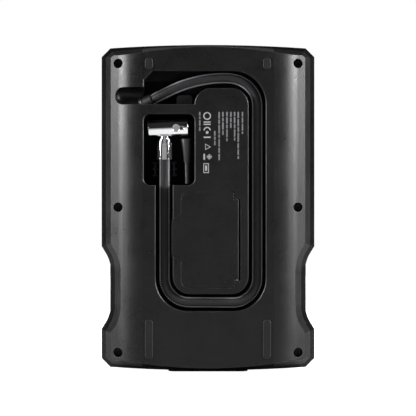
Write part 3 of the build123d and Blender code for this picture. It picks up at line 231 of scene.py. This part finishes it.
finishes = {
    # The edges of the housing and of its side are lightened strongly, mostly as painted highlight
    # along the rims and the parting line.
    "housing": finish("housing", (0.0034, 0.0034, 0.0036), 0.36, specular=0.2, grain=0.95,
                      depth=0.07, edge_wear_and_highlight=4.0, edge=0.4, edge_wear_and_highlight_lift=0.035, speckle=0.07, hollows=True),
    "housing_side": finish("housing_side", (0.0015, 0.0015, 0.0016), 0.3, specular=0.07, grain=0.6,
                           depth=0.01, edge_wear_and_highlight=3.0, edge_wear_and_highlight_lift=0.02),
    "rubber": finish("rubber", (0.004, 0.004, 0.0042), 0.6, specular=0.2, grain=0.35, depth=0.03,
                     vary=0.2),
    "chrome": finish("chrome", (0.86, 0.86, 0.87), 0.07, metal=1.0, grain=0.9, depth=0.0015,
                     vary=0.03, edge_wear_and_highlight=1.0, edge=0.35),
    "steel": finish("steel", (0.52, 0.53, 0.55), 0.28, metal=1.0, grain=0.2, depth=0.004, edge_wear_and_highlight=1.2,
                    stretch=(1.0, 1.0, 0.1)),
    "black_screw": finish("black_screw", (0.004, 0.004, 0.004), 0.5, specular=0.25, grain=0.2,
                          depth=0.01),
    "seal": finish("seal", (0.008, 0.008, 0.008), 0.55, grain=0.3, depth=0.01),
    "brass": finish("brass", (0.62, 0.44, 0.17), 0.24, metal=1.0, grain=0.25, depth=0.004,
                    edge_wear_and_highlight=1.25),
    "nozzle": finish("nozzle", (0.014, 0.014, 0.015), 0.34, grain=0.6, depth=0.008),
    "lens": finish("lens", (0.8, 0.83, 0.86), 0.12, grain=1.2, depth=0.006, edge_wear_and_highlight=1.0, clear=0.6,
                   vary=0.04),
    "board": finish("board", (0.012, 0.09, 0.035), 0.3, grain=0.8, depth=0.01, coat=0.3),
    "lcd": finish("lcd", (0.012, 0.014, 0.016), 0.12, grain=0.4, depth=0.001, coat=0.5, edge_wear_and_highlight=1.0),
    "window": finish("window", (0.006, 0.006, 0.007), 0.06, grain=0.8, depth=0.001, coat=1.0,
                     edge_wear_and_highlight=1.2),
    "button_grey": finish("button_grey", (0.035, 0.035, 0.038), 0.42, grain=0.4, depth=0.012),
    "button_red": finish("button_red", (0.33, 0.018, 0.012), 0.4, grain=0.4, depth=0.012),
    "cell": finish("cell", (0.02, 0.09, 0.28), 0.25, grain=1.0, depth=0.01),
    "aluminium": finish("aluminium", (0.58, 0.59, 0.61), 0.4, metal=1.0, grain=0.5, depth=0.02),
    "motor_can": finish("motor_can", (0.42, 0.43, 0.45), 0.3, metal=1.0, grain=0.3, depth=0.006),
    "gear": finish("gear", (0.62, 0.6, 0.52), 0.38, grain=0.6, depth=0.01),
    "silicone": finish("silicone", (0.5, 0.52, 0.52), 0.35, grain=0.8, depth=0.01, clear=0.3),
}
print_ink = finish("print_ink", (0.085, 0.085, 0.088), 0.55, specular=0.2, grain=0.3, depth=0.002,
                   edge_wear_and_highlight=1.0, vary=0.25)
icon_ink = finish("icon_ink", (0.19, 0.19, 0.195), 0.5, specular=0.2, grain=0.3, depth=0.002,
                  edge_wear_and_highlight=1.0)

slot_of = {part["node"]: part["material_slot"] for part in frame["record"]["subparts"]}
for name, node in nodes.items():
    surface = finishes.get(slot_of[name])
    if surface is None:  # the hose, whose braid comes with its own mesh
        continue
    if node.data.materials:
        for index in range(len(node.data.materials)):
            node.data.materials[index] = surface
    else:
        node.data.materials.append(surface)


def mesh_object(name, mesh, material):
    """A new object made from a bmesh, with one material."""
    data = bpy.data.meshes.new(name)
    mesh.to_mesh(data)
    mesh.free()
    data.materials.append(material)
    made = bpy.data.objects.new(name, data)
    scene.collection.objects.link(made)
    return made


def piece(name, mesh, material, body):
    """A new object made from a bmesh, riding on a body."""
    made = mesh_object(name, mesh, material)
    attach(made, body)
    return made


# Hose --------------------------------------------------------------------------------------------

HOSE_D = 0.0077
CURVE_STEPS = 48

# Control points in mm, from the root in the groove round the loop to the ferrule.
route = [
    (-44.39, -14.40, 187.70),
    (-31.6, -21.6, 194.1),
    (-17.0, -24.5, 200.8),
    (3.0, -24.7, 205.4),
    (22.6, -24.7, 204.9),
    (34.2, -24.7, 193.6),
    (34.2, -24.7, 177.4),
    (34.2, -24.7, 74.0),
    (34.2, -24.7, 59.6),
    (24.2, -24.7, 49.3),
    (9.8, -24.7, 49.43),
    (-6.5, -24.7, 49.57),
    (-20.4, -24.7, 49.7),
    (-30.2, -24.7, 59.6),
    (-30.2, -24.6, 73.5),
    (-30.2, -24.0, 159.5),
]
curve = bpy.data.curves.new("hose_line", "CURVE")
curve.dimensions = "3D"
curve.resolution_u = CURVE_STEPS
spline = curve.splines.new("NURBS")
spline.points.add(len(route) - 1)
for point, place in zip(spline.points, route):
    point.co = (*(c * MM for c in place), 1.0)
spline.order_u = 3
spline.use_endpoint_u = True
line_object = bpy.data.objects.new("hose_line", curve)
scene.collection.objects.link(line_object)
bpy.context.view_layer.update()
line_mesh = bpy.data.meshes.new_from_object(line_object)
line = [vertex.co.copy() for vertex in line_mesh.vertices]
bpy.data.objects.remove(line_object)


def even_points(points, step):
    """Points along the line, about a step apart."""
    run = [0.0]
    for a, b in zip(points, points[1:]):
        run.append(run[-1] + (b - a).length)
    count = round(run[-1] / step)
    made = []
    index = 0
    for i in range(count + 1):
        target = run[-1] * i / count
        while index < len(points) - 2 and run[index + 1] < target:
            index += 1
        span = run[index + 1] - run[index]
        share = (target - run[index]) / span if span else 0.0
        made.append(points[index].lerp(points[index + 1], share))
    return made


BRAID_STEP = 0.2 * MM
BRAID_PITCH = 0.75 * MM
BRAID_RISE = 0.4 * MM
STRANDS = 10
AROUND = 100

# Two bands of painted highlight run along the hose, one on each side of its outermost line: the
# sines of the angle from that line where they start and end, and the width over which they fade.
HIGHLIGHT_FROM = 0.70
HIGHLIGHT_TO = 0.92
HIGHLIGHT_FADE = 0.05

# What the braid's colour is multiplied by: everywhere, more near the crossings as painted
# highlight, and most near those in the two bands of painted highlight.
YARN_BASE = 0.05
YARN_CROSSING_HIGHLIGHT = 2.4
YARN_SIDE_HIGHLIGHT = 60.0

path = even_points(line, BRAID_STEP)


def weave(turn, along):
    """The sleeve's height and the nearness to a crossing of two strands, both from 0 to 1."""
    left = abs(math.cos(math.pi * (turn * STRANDS + along / BRAID_PITCH / 2)))
    right = abs(math.cos(math.pi * (turn * STRANDS - along / BRAID_PITCH / 2)))
    return max(left, right), left * right


def painted_highlight_band(angle):
    """1 on the two bands of painted highlight that face outwards, 0 elsewhere."""
    side = abs(math.sin(angle))
    rising = min(1.0, max(0.0, (side - HIGHLIGHT_FROM) / HIGHLIGHT_FADE))
    falling = min(1.0, max(0.0, (HIGHLIGHT_TO - side) / HIGHLIGHT_FADE))
    return rising * falling if math.cos(angle) > 0 else 0.0


sleeve = bmesh.new()
crest_layer = sleeve.verts.layers.float_color.new("crest")
across = Vector((0, -1, 0))
rings = []
for i, place in enumerate(path):
    ahead = path[min(i + 1, len(path) - 1)] - path[max(i - 1, 0)]
    ahead.normalize()
    across = (across - ahead * across.dot(ahead)).normalized()
    beside = ahead.cross(across)
    ring = []
    for j in range(AROUND):
        turn = j / AROUND
        angle = 2 * math.pi * turn
        height, knot = weave(turn, i * BRAID_STEP)
        radius = HOSE_D / 2 - BRAID_RISE * (1 - height)
        outward = across * math.cos(angle) + beside * math.sin(angle)
        vertex = sleeve.verts.new(place + outward * radius)
        # Painted highlight: the braid is lightened near the strand crossings, and most in the two
        # side bands, standing in for glints.
        shine = YARN_BASE + YARN_CROSSING_HIGHLIGHT * knot**2 + YARN_SIDE_HIGHLIGHT * painted_highlight_band(angle) * knot**2
        vertex[crest_layer] = (shine, shine, shine, 1.0)
        ring.append(vertex)
    rings.append(ring)
for low, high in zip(rings, rings[1:]):
    for j in range(AROUND):
        k = (j + 1) % AROUND
        sleeve.faces.new((low[j], low[k], high[k], high[j]))
sleeve.faces.new(rings[0][::-1])
sleeve.faces.new(rings[-1])

SHEEN_WEIGHT = 0.1
SHEEN_ROUGHNESS = 0.2
braid = finish("braid", (0.012, 0.012, 0.013), 0.42, specular=0.22, grain=0.3, depth=0.012,
               edge_wear_and_highlight=1.3, edge=0.05)
weaver = braid.node_tree
thread = weaver.nodes["Principled BSDF"]
thread.inputs["Sheen Weight"].default_value = SHEEN_WEIGHT
thread.inputs["Sheen Roughness"].default_value = SHEEN_ROUGHNESS
crest = weaver.nodes.new("ShaderNodeAttribute")
crest.attribute_name = "crest"
shade = weaver.nodes.new("ShaderNodeMix")
shade.data_type = "RGBA"
shade.blend_type = "MULTIPLY"
shade.inputs["Factor"].default_value = 1.0
woven = [s for s in shade.inputs if s.type == "RGBA"]
weaver.links.new(thread.inputs["Base Color"].links[0].from_socket, woven[0])
weaver.links.new(crest.outputs["Color"], woven[1])
weaver.links.new([s for s in shade.outputs if s.type == "RGBA"][0], thread.inputs["Base Color"])
hose = piece("braided_hose", sleeve, braid, "body")
hose.data.polygons.foreach_set("use_smooth", [True] * len(hose.data.polygons))
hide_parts("hose")

# Printed marks on the back: plain bars and shapes with no lettering ------------------------------

PANEL_Y = -31.0 * MM
PRINT_LIFT = 0.03 * MM
PRINT_Y = PANEL_Y - PRINT_LIFT
RING_SIDES = 28


def flat_bar(mesh, x0, x1, z0, z1, y=PRINT_Y):
    """One flat printed bar."""
    corners = [mesh.verts.new((x, y, z)) for x, z in ((x0, z0), (x1, z0), (x1, z1), (x0, z1))]
    mesh.faces.new(corners)


def flat_ring(mesh, x, z, outer, inner, start=0.0, sweep=1.0, count=RING_SIDES, y=PRINT_Y):
    """A printed ring or part of one; start and sweep are shares of a turn."""
    steps = max(3, round(count * sweep))
    pairs = []
    for i in range(steps + 1):
        angle = 2 * math.pi * (start + sweep * i / steps)
        across, up = math.cos(angle), math.sin(angle)
        pairs.append([mesh.verts.new((x + r * across, y, z + r * up)) for r in (inner, outer)])
    for a, b in zip(pairs, pairs[1:]):
        mesh.faces.new((a[0], a[1], b[1], b[0]))


def draw(mesh, shapes, x=0.0, z=0.0, y=PRINT_Y):
    """Bars and rings whose sizes are in mm, round a point x, z in metres.

    A bar is x0, x1, z0, z1 and how far it is sunk, if at all. A ring is x, z, its outer and its
    inner radius, and start, sweep and sides if it isn't a full round ring.
    """
    for kind, *sizes in shapes:
        if kind == "bar":
            x0, x1, z0, z1, *sunk = sizes
            flat_bar(mesh, x + x0 * MM, x + x1 * MM, z + z0 * MM, z + z1 * MM, y - sum(sunk) * MM)
        else:
            ring_x, ring_z, outer, inner, *arc = sizes
            flat_ring(mesh, x + ring_x * MM, z + ring_z * MM, outer * MM, inner * MM, *arc, y=y)


BAR_HALF = 0.52
BAR_GAP = 0.7
SHORTEST_BAR = 0.8

# Each upright row of bars, in mm: its x, its top, its bottom and the lengths of its bars in turn.
columns = [
    (-5.7, 181.4, 168.3, (2.6, 1.6, 4.0, 3.0)),
    (4.7, 168.2, 158.1, (3.2, 2.2, 3.0)),
    (7.7, 181.4, 146.9, (4.6, 3.0, 6.0, 2.4, 5.2, 3.6, 4.4)),
    (10.3, 181.4, 164.7, (3.4, 2.4, 5.0, 3.0)),
    (13.1, 181.4, 161.1, (3.0, 4.4, 2.6, 5.4)),
    (15.8, 181.4, 169.3, (3.4, 3.0, 3.2)),
    (18.4, 181.4, 161.6, (3.0, 4.2, 2.8, 5.0)),
    (20.9, 181.4, 148.9, (4.2, 5.0, 3.2, 6.4, 3.6, 4.0)),
    (23.8, 181.4, 166.2, (3.2, 3.6, 4.8)),
]
bars = bmesh.new()
for x, top, bottom, lengths in columns:
    z = top
    index = 0
    while z > bottom + SHORTEST_BAR:
        end = max(bottom, z - lengths[index % len(lengths)])
        draw(bars, [("bar", x - BAR_HALF, x + BAR_HALF, end, z)])
        z = end - BAR_GAP
        index += 1
piece("label_bars", bars, print_ink, "body")

marks = bmesh.new()
draw(marks, [
    ("ring", -0.6, 178.6, 2.7, 1.9),
    ("bar", -3.0, 1.8, 174.0, 174.8),
    ("bar", -3.0, 1.8, 172.4, 173.2),
    ("ring", -0.6, 168.6, 2.5, 1.7, 0.0, 0.5),
    ("ring", -0.6, 167.2, 1.0, 0.0),
    ("bar", -3.0, 1.8, 163.4, 164.4),
    ("ring", -0.6, 157.2, 2.6, 1.8, 0.0, 1.0, 3),
    ("bar", -3.2, -2.0, 148.4, 152.4),
    ("ring", 0.9, 150.4, 2.0, 1.4, 0.0, 1.0, 4),
    ("ring", 0.9, 150.4, 0.8, 0.0),
    ("bar", -3.2, 0.6, 139.2, 139.7),
    ("bar", -3.2, 0.6, 145.4, 145.9),
    ("bar", -3.2, -2.7, 139.7, 145.4),
    ("bar", 0.1, 0.6, 139.7, 145.4),
    ("bar", -2.0, -0.6, 140.8, 144.4),
])
piece("label_marks", marks, icon_ink, "body")

# Marks on the display and the buttons: plain shapes and a seven-segment number -------------------

FACE_LIFT = 0.02 * MM
DIGIT_TALL = 20 * MM
DIGIT_WIDTH = 0.5  # share of the height
DIGIT_BAR = 0.09  # share of the height
DIGIT_GAP = 1.2  # in bars, from an upright one to the end of the digit
DIGIT_RISE = 1.5 * MM
LIT = {"3": "abgcd", "5": "afgcd", "0": "abcdef"}

window_low, window_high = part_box("display_window")
window_face = window_high.y + FACE_LIFT
window_mid = (window_low + window_high) / 2


def seven_segments(mesh, x, z, digit):
    """One numeral on the window, seen from the display side, with its middle at x, z."""
    side = DIGIT_TALL * DIGIT_WIDTH / 2
    bar = DIGIT_TALL * DIGIT_BAR
    half = DIGIT_TALL / 2
    tip = half - bar * DIGIT_GAP
    spans = {
        "a": (-side, side, half - bar, half),
        "b": (side - bar, side, bar, tip),
        "c": (side - bar, side, -tip, -bar),
        "d": (-side, side, -half, -half + bar),
        "e": (-side, -side + bar, -tip, -bar),
        "f": (-side, -side + bar, bar, tip),
        "g": (-side, side, -bar / 2, bar / 2),
    }
    for key in LIT[digit]:
        x0, x1, z0, z1 = spans[key]
        flat_bar(mesh, x - x0, x - x1, z + z0, z + z1, window_face)


glow = finish("glow", (0.5, 0.62, 0.66), 0.4, grain=0.3, depth=0.001, edge_wear_and_highlight=1.0)
digits = bmesh.new()
for place, digit in zip((14.0, 0.0, -14.0), "350"):
    seven_segments(digits, window_mid.x + place * MM, window_mid.z + DIGIT_RISE, digit)
draw(digits, [
    ("bar", 6.6, 7.6, -8.5, -7.5),
    ("bar", -30.0, -31.0, 12.0, 13.5),
    ("bar", -31.6, -32.6, 12.0, 14.5),
    ("bar", -33.2, -34.2, 12.0, 15.5),
    ("bar", -34.8, -35.8, 12.0, 16.5),
    ("bar", -36.4, -37.4, 12.0, 17.5),
    ("bar", 34.0, 28.0, -15.6, -15.0),
    ("bar", -28.0, -34.0, -15.6, -15.0),
], z=window_mid.z, y=window_face)
piece("display_digits", digits, glow, "body")

icons = {
    "power": [("ring", 0.0, 0.0, 4.2, 3.4, 0.32, 0.86), ("bar", 0.4, -0.4, 1.2, 4.8)],
    "plus": [("bar", 2.4, -2.4, -0.35, 0.35), ("bar", 0.35, -0.35, -2.4, 2.4, 0.01)],
    "minus": [("bar", 2.4, -2.4, -0.35, 0.35)],
    "mode": [("ring", 0.0, 0.0, 2.6, 2.0), ("ring", 0.0, 0.0, 0.8, 0.0)],
    "light": [
        ("ring", 0.0, 0.0, 1.4, 0.0),
        ("bar", -1.35, -1.85, 2.0, 3.2),
        ("bar", 0.25, -0.25, 2.0, 3.2),
        ("bar", 1.85, 1.35, 2.0, 3.2),
    ],
}
for key, shapes in icons.items():
    low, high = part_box(key + "_button")
    icon = bmesh.new()
    draw(icon, shapes, (low.x + high.x) / 2, (low.z + high.z) / 2, high.y + FACE_LIFT)
    piece(key + "_icon", icon, icon_ink, key + "_key")

# Floor and light ---------------------------------------------------------------------------------

FLOOR_SIZE = 12.0
FLOOR_SHADE = 0.34
FLOOR_ROUGHNESS = 0.9
SEEN_STRENGTH = 1.0  # of the world, as the camera sees it
FILL_STRENGTH = 0.02  # of the world, as a light

paper = bpy.data.materials.new("floor")
paper.use_nodes = True
tree = paper.node_tree
sheet = tree.nodes["Principled BSDF"]
sheet.inputs["Base Color"].default_value = (FLOOR_SHADE, FLOOR_SHADE, FLOOR_SHADE, 1.0)
sheet.inputs["Roughness"].default_value = FLOOR_ROUGHNESS
sheet.inputs["Emission Color"].default_value = WHITE
ray = tree.nodes.new("ShaderNodeLightPath")
tree.links.new(ray.outputs["Is Camera Ray"], sheet.inputs["Emission Strength"])
floor_mesh = bmesh.new()
bmesh.ops.create_grid(floor_mesh, x_segments=1, y_segments=1, size=FLOOR_SIZE)
mesh_object("floor", floor_mesh, paper)

world = bpy.data.worlds.new("studio")
scene.world = world
world.use_nodes = True
tree = world.node_tree
tree.nodes.clear()


def background(strength):
    """A white background of one strength."""
    node = tree.nodes.new("ShaderNodeBackground")
    node.inputs["Color"].default_value = WHITE
    node.inputs["Strength"].default_value = strength
    return node.outputs[0]


ray = tree.nodes.new("ShaderNodeLightPath")
join = tree.nodes.new("ShaderNodeMixShader")
output = tree.nodes.new("ShaderNodeOutputWorld")
tree.links.new(ray.outputs["Is Camera Ray"], join.inputs[0])
tree.links.new(background(FILL_STRENGTH), join.inputs[1])
tree.links.new(background(SEEN_STRENGTH), join.inputs[2])
tree.links.new(join.outputs[0], output.inputs["Surface"])


def softbox(name, place, target, wide, tall, power):
    """A rectangular light aimed at a point; its sides are in metres and its power in watts."""
    light = bpy.data.lights.new(name, "AREA")
    light.shape = "RECTANGLE"
    light.size = wide
    light.size_y = tall
    light.energy = power
    made = bpy.data.objects.new(name, light)
    scene.collection.objects.link(made)
    made.location = place
    aim = Vector(target) - Vector(place)
    made.rotation_euler = aim.to_track_quat("-Z", "Y").to_euler()
    return made


middle = (0.0, 0.0, 0.13)
softbox("left_box", (-1.3, -0.34, 0.58), middle, 0.5, 0.8, 64.0)
softbox("right_box", (1.3, -0.34, 0.62), middle, 0.5, 0.8, 76.0)
softbox("front_card", (0.0, -1.6, 0.14), middle, 1.2, 0.3, 0.35)
softbox("display_box", (0.0, 1.7, 0.30), middle, 0.9, 0.5, 7.0)
overhead = softbox("overhead_box", (0.0, -0.9, 1.5), (0.0, -0.6, 0.0), 1.4, 0.6, 8.0)
overhead.visible_glossy = False
